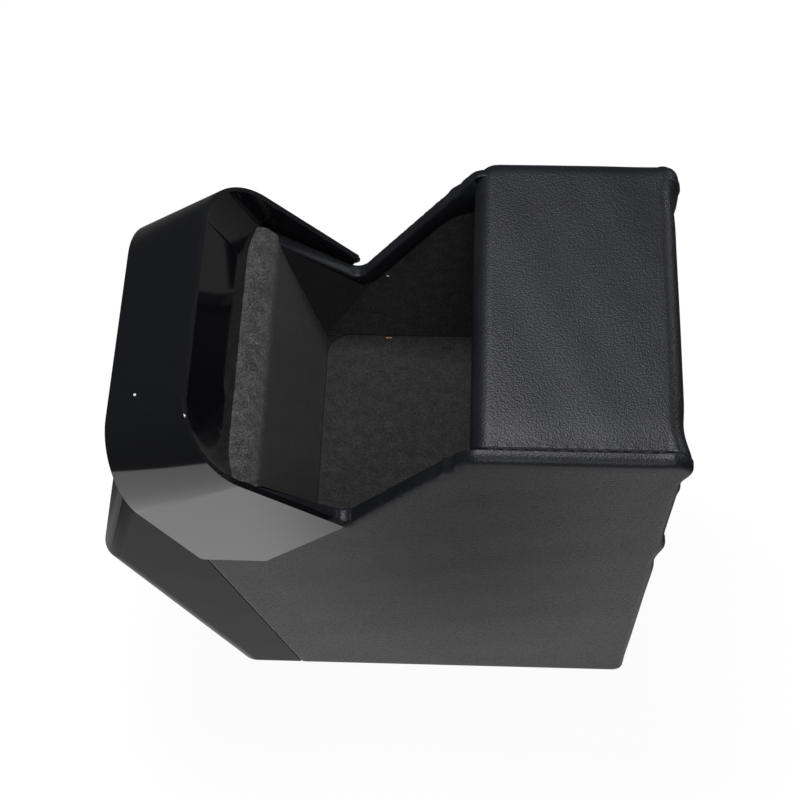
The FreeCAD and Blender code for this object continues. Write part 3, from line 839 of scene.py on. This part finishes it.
@dataclass
class DeckCover:
    """Padded leatherette of the deck, rolled over its front, rear and right edges, sunk at the left seam."""

    material: bpy.types.Material
    thread: bpy.types.Material
    lip_run: float = 27.0
    lip_up: float = 314.6
    hem: Pair = (164.6, 316.0)
    top_from: float = 324.0
    rear_from: float = 156.0
    fade: float = 8.0
    seam_gap: float = 0.2
    seam_width: float = 0.9
    sink: float = 1.3
    proud: float = 0.15
    rear_lap: float = 2.5
    far_lap: float = 0.5
    far_start: float = 6.0
    far_proud: float = 5.0
    far_drop: float = 6.0
    far_corner: float = 26.0
    crown: float = 1.2
    ear: float = 3.6
    ear_dip: float = 0.8
    stitch_pitch: float = 7.6
    stitch_length: float = 6.2
    stitch_width: float = 0.6
    stitch_sink: float = 0.95

    def build(self) -> bpy.types.Object:
        """Sweeps the side view of the cover across the box.

        Columns gather at the edges. At the left seam the surface sinks by a bell curve and puckers a little
        at the stitches; on the right it runs over the side, down a quarter ellipse and back under. Both rear
        corners bulge.

        Returns:
            The piece.
        """
        corners = np.array([(BODY.deck_front + self.lip_run, self.lip_up), (BODY.deck_front, self.lip_up),
                            (BODY.deck_front, BODY.height), (BODY.rear_top, BODY.height), self.hem])
        path, _ = rounded_path(corners, (0, 3.0, 11.0, 9.0, 0), 1.6, False)
        outward = left_normals(path, False)
        cols = np.sin(np.linspace(-1, 1, 101) * math.pi / 2)
        near = (cols < 0).astype(float)
        top = np.clip((path[:, 1] - self.top_from) / self.fade, 0, 1)[:, None]
        along = path[:, :1]
        round_off = np.clip((BODY.deck_front + self.far_corner - along) / self.far_corner, 0, 1)
        reach = top * np.sqrt(1 - round_off ** 2)
        behind = np.clip((along - self.rear_from) / self.fade, 0, 1)
        far_out = self.far_lap + (BODY.skin + self.far_proud - self.far_lap) * reach
        near_out = self.rear_lap * behind - self.seam_gap
        edge = BODY.half(path[:, 1], BODY.skin)[:, None] + np.where(cols > 0, far_out, near_out)
        across = cols * edge
        gap = edge - np.abs(across)
        past = (self.far_start - BODY.half(path[:, 1])[:, None] + across) / (self.far_start + self.far_proud)
        seam = near * bump_at(gap, 0, self.seam_width)
        dip = self.sink * seam - self.proud
        dip = dip + top * self.far_drop * (1 - np.sqrt(1 - np.clip(past, 0, 1) ** 2))
        pucker = 0.1 * near * bump_at(gap, 2, 2) * np.cos(2 * math.pi * along / self.stitch_pitch)
        puff = self.crown * top * (1 - bump_at(gap, 0, np.where(cols < 0, 14, 5)))
        wave = 0.2 * top * ripple(along + 0.4 * across, (37.0, 59.0, 91.0), 21)
        ear = behind * (self.ear * bump_at(gap, 0, 11) - self.ear_dip * bump_at(gap, 22, 9))
        lift = (puff + wave - dip + pucker * top + ear)[..., None]
        flat = path[:, None, :] + outward[:, None, :] * lift
        points = np.stack([flat[..., 0], across, flat[..., 1]], axis=-1)
        under = points[:, -1:] - np.stack([0 * reach, (self.far_proud - 0.2) * reach, 1.5 * reach], axis=-1)
        points = np.concatenate([points, under], axis=1)
        # Painted shade along the left seam, weaker where each stitch sits
        held = 1 - 0.7 * np.cos(math.pi * along / self.stitch_pitch) ** 20
        painted_shade_and_highlight = np.pad(seam * held, ((0, 0), (0, 1)))
        item = build_object("deck_leather", [Patch(points, painted_shade_and_highlight)], self.material)
        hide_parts("deck_cover", "deck_pad")
        self.stitches()
        return item

    def stitches(self) -> bpy.types.Object:
        """A row of stitches along the left seam: short bars with round ends, sunk half their width.

        Returns:
            The piece.
        """
        starts = np.arange(BODY.deck_front + 12, BODY.rear_top - 10, self.stitch_pitch)
        run = np.linspace(-1, 1, 9)
        girth = np.sqrt(np.clip(1 - run ** 6, 0.02, 1)) * self.stitch_width / 2
        turn = np.linspace(0, 2 * math.pi, 9)[:-1]
        seam = BODY.half(BODY.height, BODY.skin + self.seam_gap) - 0.5
        x = starts[:, None, None] + run[:, None] * self.stitch_length / 2 + 0 * turn
        y = girth[:, None] * np.cos(turn) - seam + 0 * x
        z = BODY.height - self.stitch_sink + girth[:, None] * np.sin(turn) - 0.3 * run[:, None] ** 2 + 0 * x
        patches = [Patch(points, None, True) for points in np.stack([x, y, z], axis=-1)]
        return build_object("deck_stitches", patches, self.thread)


@dataclass
class RearCover:
    """Leatherette of the rear face, tucked in at both seams and under the deck's roll."""

    material: bpy.types.Material
    top: float = 319.5
    seam_gap: float = 0.4
    seam_width: float = 0.9
    set_back: float = 0.3
    sink: float = 1.6

    def build(self) -> bpy.types.Object:
        """A leaning sheet with a slow ripple that sinks at its edges by bell curves.

        Returns:
            The piece.
        """
        up = np.linspace(0, self.top, 120)[:, None]
        cols = np.sin(np.linspace(-1, 1, 71) * math.pi / 2)
        edge = BODY.half(up, BODY.skin + self.seam_gap)
        across = edge * cols
        gap = edge - np.abs(across)
        wave = 0.3 * ripple(up + 0.5 * across, (53.0, 79.0, 121.0), 31)
        sink = self.sink * bump_at(gap, 0, 1.9) + self.sink * bump_at(up, self.top, 2.5)
        place = BODY.rear(up) - self.set_back + np.minimum(wave, 0.2) - sink
        points = np.stack([place, across, up + 0 * across], axis=-1)
        # Painted shade in both seams
        painted_shade_and_highlight = 0.9 * bump_at(gap, 0, self.seam_width)
        item = build_object("rear_leather", [Patch(points, painted_shade_and_highlight)], self.material)
        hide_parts("rear_cover")
        return item


@dataclass
class FrontFelt:
    """Felt of the bin's front wall, rolled over the wall's top edge, with a turned end on each side wall."""

    material: bpy.types.Material
    wall_foot: float = -46.0
    wall_run: float = 30.0
    wall_rise: float = 98.0
    start_up: float = 184.6
    crest_up: float = 286.6
    depth: float = 10.15
    turn: float = 13.0
    under_mat: float = 30.0
    bulge: float = 2.4
    back_foot: float = 222.0
    # Height where the painted highlight over the wall's top edge starts
    painted_highlight_from: float = 272.0
    top_width: float = 12.6
    end_wrap: float = 2.3
    wrap_from: float = 275.0
    gather: float = 0.8
    flap_share: float = 0.92
    flap_depth: float = 9.9
    flap_lift: float = 1.3
    cut_run: float = 28.0
    cut_rise: float = 46.0

    def build(self) -> bpy.types.Object:
        """Sweeps the side view of the felt across the bin, gathered into soft wrinkles towards its ends.

        The felt starts under the mat, climbs the wall, goes over its top and down behind it.

        Returns:
            The piece.
        """
        slope = self.wall_run / self.wall_rise
        foot = self.wall_foot + (BODY.floor - self.start_up) * slope
        crest = self.wall_foot - self.wall_run + self.bulge
        back = crest - self.bulge - self.top_width * math.hypot(1, slope)
        corners = np.array([(foot + self.under_mat, self.start_up), (foot, self.start_up),
                            (crest, self.crest_up), (back, self.crest_up),
                            (back + (self.crest_up - self.back_foot) * slope, self.back_foot)])
        path, _ = rounded_path(corners, (0, 2.0, self.turn, 1.8, 0), 1.0, False)
        outward = -left_normals(path, False)
        up = path[:, 1:]
        cols = np.linspace(-1, 1, 161)
        wrap = self.end_wrap * np.clip((up - self.wrap_from) / 4, 0, 1)
        across = (BODY.half(up, self.depth) + wrap) * cols
        top = bump_at(up, 288, 16)
        ends = np.abs(cols) ** 8
        wave = 0.2 * (0.5 + 0.5 * ripple(across + 0.4 * up, (23.0, 37.0, 61.0), 41))
        wrinkle = 0.5 + 0.5 * ripple(across + 0.8 * up, (4.3, 6.1, 8.7), 42)
        lift = wave + self.gather * top * ends * wrinkle
        flat = path[:, None, :] + outward[:, None, :] * lift[..., None]
        points = np.stack([flat[..., 0], across, flat[..., 1]], axis=-1)
        # Painted highlight over the top of the wall
        painted_highlight = np.clip((up - self.painted_highlight_from) / 6, 0, 1) + 0 * across
        patches = [Patch(points, painted_highlight)] + [self.flap(side) for side in Side]
        item = build_object("front_felt_roll", patches, self.material)
        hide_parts("front_felt")
        return item

    def flap(self, side: Side) -> Patch:
        """Turned end of the felt on a side wall: a ruled sheet from the wall's corner to a slanting cut edge.

        Args:
            side: which side wall.

        Returns:
            The surface.
        """
        up = np.linspace(0, 1, 60)[:, None]
        out = np.linspace(0, 1, 60) ** 0.6
        corner = np.stack([self.wall_foot - 0.5 - self.wall_run * up * self.flap_share,
                           BODY.floor - 1 + self.wall_rise * up * self.flap_share], axis=-1)
        cut = np.stack([self.wall_foot + 2.5 + self.cut_run * up, BODY.floor + self.cut_rise * up], axis=-1)
        cut[..., 0] += 0.5 * ripple(self.cut_rise * up, (11.0, 17.0), 44)
        sheet = corner + (cut - corner) * out[:, None]
        depth = self.flap_depth + self.flap_lift * np.sqrt(np.clip(1 - out ** 14, 0, 1))
        return Patch(BODY.on_side(side, sheet[..., 0], sheet[..., 1] * BODY.stretch, depth))


@dataclass
class FloorMat:
    """Loose felt mat on the bin's floor with round front corners and a soft edge."""

    material: bpy.types.Material
    front: float = -43.5
    rear: float = 149.0
    corner: float = 15.0
    rear_corner: float = 4.0
    edge: float = 1.3
    depth: float = 10.6
    clear: float = 0.1

    def build(self) -> bpy.types.Object:
        """Rings from the middle to the edge, then a quarter circle down to the floor board.

        Returns:
            The piece.
        """
        half = BODY.half(BODY.floor_board, self.depth)
        corners = np.array([(self.front, -half), (self.rear, -half), (self.rear, half), (self.front, half)])
        radii = (self.corner, self.rear_corner, self.rear_corner, self.corner)
        flat, _ = rounded_path(corners, radii, 1.6, True)
        inward = left_normals(flat, True)
        hub = flat.mean(axis=0)
        part = np.linspace(0.05, 1, 40)[:, None, None]
        rings = hub + (flat + inward * self.edge - hub) * part
        height = BODY.floor + 0.12 * ripple(rings[..., 0] + 0.7 * rings[..., 1], (29.0, 41.0, 67.0), 51)
        top = np.concatenate([rings, height[..., None]], axis=-1)
        turn = np.linspace(0, math.pi / 2, 5)[1:, None]
        side = flat + inward * (self.edge * (1 - np.sin(turn)))[..., None]
        drop = BODY.floor - self.edge * (1 - np.cos(turn)) + 0 * flat[:, 0]
        bottom = np.full((len(flat), 1), BODY.floor_board + self.clear)
        foot = np.concatenate([flat, bottom], axis=1)[None]
        section = np.concatenate([np.concatenate([side, drop[..., None]], axis=-1), foot])
        whole = np.concatenate([top, section])[:, ::-1]
        pole = np.array([*hub, BODY.floor])
        item = build_object("floor_mat_felt", [Patch(whole, None, True, pole)], self.material)
        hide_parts("floor_mat")
        return item


@dataclass(frozen=True)
class Speck:
    """A small grain with its place and half lengths in millimetres: a bit of lint, and on the hood a painted
    glint.
    """

    name: str
    colour: str
    place: Triple
    half: Triple

    def build(self) -> bpy.types.Object:
        """A small ellipsoid from angles of latitude and longitude.

        Returns:
            The piece.
        """
        # Cotton lint, and on the hood a painted glint: a small pale matt grain
        material = Finish(self.name, self.colour, 0.9).build()
        tall = np.linspace(-math.pi / 2, math.pi / 2, 9)[1:-1, None]
        wide = np.linspace(0, 2 * math.pi, 13)[:-1]
        axes = np.cos(tall) * np.cos(wide), np.cos(tall) * np.sin(wide), np.sin(tall)
        ball = np.stack(np.broadcast_arrays(*axes), axis=-1) * self.half + self.place
        return build_object(self.name, [Patch(ball, None, True)], material)


SPECKS = (
    Speck("lint_orange", "#9a6a45", (-4.7, 74.5, 187.6), (2.2, 0.7, 0.6)),
    Speck("lint_white", "#b9b7b4", (-4.2, 82.0, 246.5), (1.0, 0.4, 0.6)),
    Speck("lint_wall", "#a5a3a0", (-66.6, 74.1, 257.2), (0.5, 0.7, 0.5)),
    # Painted glint: a near-white dot on the hood where a lamp is mirrored
    Speck("painted_glint_hood", "#e8e8ea", (-139.7, -48.5, 311.9), (0.8, 0.8, 0.5)),
)


@dataclass
class Mouldings:
    """Gloss hood and satin front cover, kept as built, with their edges eased to catch the light."""

    gloss: bpy.types.Material
    satin: bpy.types.Material
    easing: float = 1.1
    segments: int = 5
    join: float = 0.01
    sharp_degrees: float = 40.0

    def build(self) -> None:
        """Joins split corners and bevels sharp edges of the two mouldings."""
        for name, material in (("hood", self.gloss), ("front_cover", self.satin)):
            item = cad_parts[name]
            weld = item.modifiers.new("joined", "WELD")
            weld.merge_threshold = self.join * MM
            bevel = item.modifiers.new("eased", "BEVEL")
            bevel.width = self.easing * MM
            bevel.segments = self.segments
            bevel.limit_method = "ANGLE"
            bevel.angle_limit = math.radians(self.sharp_degrees)
            bevel.harden_normals = True
            dress(item, material)


def dress(item: bpy.types.Object, material: bpy.types.Material) -> None:
    """Gives a kept node its material.

    Args:
        item: the node.
        material: the material.
    """
    item.data.materials.clear()
    item.data.materials.append(material)
    LOG.info("%s: %s", item.name, material.name)


def stand(item: bpy.types.Object, right: np.ndarray, up: np.ndarray, back: np.ndarray,
          place: np.ndarray) -> None:
    """Puts a camera or a lamp in the scene by its three axes and its place.

    Args:
        item: the camera or lamp.
        right: its X axis.
        up: its Y axis.
        back: its Z axis, away from what it faces.
        place: where it stands, in metres.
    """
    rows = np.eye(4)
    rows[:3] = np.stack([right, up, back, place], axis=1)
    item.matrix_world = Matrix(rows.tolist())
    bpy.context.scene.collection.objects.link(item)


@dataclass(frozen=True)
class Lamp:
    """A rectangular soft light: its place, the point that it faces and its size in metres, and its watts."""

    name: str
    place: Triple
    target: Triple
    size: Pair
    watts: float

    def build(self) -> None:
        """Hangs the lamp so that it faces its target."""
        data = bpy.data.lights.new(self.name, "AREA")
        data.shape = "RECTANGLE"
        data.size, data.size_y = self.size
        data.energy = self.watts
        aim = np.array(self.place) - np.array(self.target)
        back = aim / np.linalg.norm(aim)
        right = np.cross((0.0, 1.0, 0.0) if abs(back[2]) > 0.9 else (0.0, 0.0, 1.0), back)
        right = right / np.linalg.norm(right)
        stand(bpy.data.objects.new(self.name, data), right, np.cross(back, right), back, np.array(self.place))


LAMPS = (
    Lamp("overhead", (-0.2, 0.3, 1.8), (0.0, 0.1, 0.2), (0.7, 0.5), 35.0),
    Lamp("window", (1.36, 1.1, 1.0), (-0.05, 0.0, 0.3), (0.45, 0.35), 7.0),
    Lamp("fill", (0.1, -1.3, 1.5), (0.0, 0.0, 0.3), (0.8, 0.5), 12.0),
)


@dataclass(frozen=True)
class Studio:
    """Table, room and camera; the camera stands where the photo was taken, with its angles in degrees."""

    eye: Triple = (0.047, -0.600, 1.218)
    elevation: float = 58.6
    yaw: float = -3.9
    roll: float = -2.1
    focal_px: float = 1900.0
    image_px: float = 800.0
    sensor_mm: float = 36.0
    floor_half: float = 12.0
    room_colour: str = "#8f949c"
    room_light: float = 0.2

    def camera(self) -> None:
        """Places the camera from its three angles and sets its lens from the focal length in pixels."""
        down, turn, tilt = [math.radians(v) for v in (self.elevation, self.yaw, self.roll)]
        level = np.array([math.cos(turn), -math.sin(turn), 0.0])
        ahead = np.array([math.sin(turn), math.cos(turn), 0.0])
        forward = ahead * math.cos(down) - np.array([0.0, 0.0, math.sin(down)])
        upright = np.cross(level, forward)
        right = math.cos(tilt) * level + math.sin(tilt) * upright
        up = -math.sin(tilt) * level + math.cos(tilt) * upright
        data = bpy.data.cameras.new("photo_camera")
        data.sensor_width = self.sensor_mm
        data.lens = self.focal_px / self.image_px * data.sensor_width
        item = bpy.data.objects.new("photo_camera", data)
        stand(item, right, up, -forward, np.array(self.eye) + (BODY.shift * MM, 0, 0))
        bpy.context.scene.camera = item

    def floor(self) -> None:
        """Lays a white table top."""
        # White melamine table top: matt and evenly bright
        finish = TableTop("white table top", "#f4f4f4", 0.8)
        h = self.floor_half
        mesh = bpy.data.meshes.new("table")
        mesh.from_pydata([(-h, -h, 0), (h, -h, 0), (h, h, 0), (-h, h, 0)], [], [(0, 1, 2, 3)])
        mesh.materials.append(finish.build())
        item = bpy.data.objects.new("table", mesh)
        bpy.context.scene.collection.objects.link(item)

    def world(self) -> None:
        """Dim grey room."""
        world = bpy.data.worlds.new("room")
        bpy.context.scene.world = world
        world.use_nodes = True
        tree = world.node_tree
        tree.nodes.clear()
        settings = {"Color": linear(self.room_colour), "Strength": self.room_light}
        room = node(tree, "ShaderNodeBackground", settings)
        node(tree, "ShaderNodeOutputWorld", None, {"Surface": room.outputs["Background"]})

    def build(self) -> None:
        """Sets up the whole studio."""
        scene = bpy.context.scene
        scene.view_settings.view_transform = "Standard"
        self.world()
        self.floor()
        for lamp in LAMPS:
            lamp.build()
        self.camera()


def main() -> None:
    """Builds every piece, dresses the kept nodes and sets up the studio."""
    logging.basicConfig(level=logging.INFO, format="%(message)s")
    # Embossed vinyl leatherette of the covers: near black, with a dull sheen that the pebbles break up
    leather = Leatherette("leatherette", "#0d0e12", 0.36).build()
    # Needled polyester felt of the bin: matt, with flecks of grey
    felt = Felt("needled felt", "#1f1e21", 0.95).build()
    # The same felt on the front wall: darker as painted shade, with a painted highlight over the top edge
    shaded_wall_felt = Felt("wall felt with painted shade", "#0e0d10", 0.95, light="#242325").build()
    # The same felt as the loose mat: softer flecks
    mat_felt = Felt("mat felt", "#1b1b1c", 0.95, light="#343434").build()
    # Polished black ABS of the hood: deep black with sharp reflections
    gloss = Gloss("gloss ABS", "#0b0b0e", 0.05, index=1.7).build()
    # Satin black ABS of the front cover: weak, blurred reflections
    satin = Gloss("satin ABS", "#131317", 0.3, index=1.12).build()
    # Raw plywood of the carcass: pale tan with long grain
    plywood = Plywood("plywood", "#c9a878", 0.7).build()
    # Drawn steel wire of the brads: bright grey metal
    steel = Metal("steel wire", "#b9babd", 0.35).build()
    # Polyester sewing thread: black and a little shiny
    thread = Finish("polyester thread", "#0c0c0e", 0.6).build()
    for side in Side:
        SideCover(side, leather).build()
    DeckCover(leather, thread).build()
    RearCover(leather).build()
    FrontFelt(shaded_wall_felt).build()
    FloorMat(mat_felt).build()
    Mouldings(gloss, satin).build()
    for speck in SPECKS:
        speck.build()
    kept = {
        "side_felt_left": felt, "side_felt_right": felt, "rear_felt": felt, "panel_nails": steel,
        "side_panel_left": plywood, "side_panel_right": plywood, "rear_panel": plywood, "base_panel": plywood,
        "front_panel": plywood, "bin_floor_panel": plywood, "bin_front_panel": plywood, "deck_panel": plywood,
    }
    for name, material in kept.items():
        dress(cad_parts[name], material)
    Studio().build()


if __name__ == "__main__":
    main()
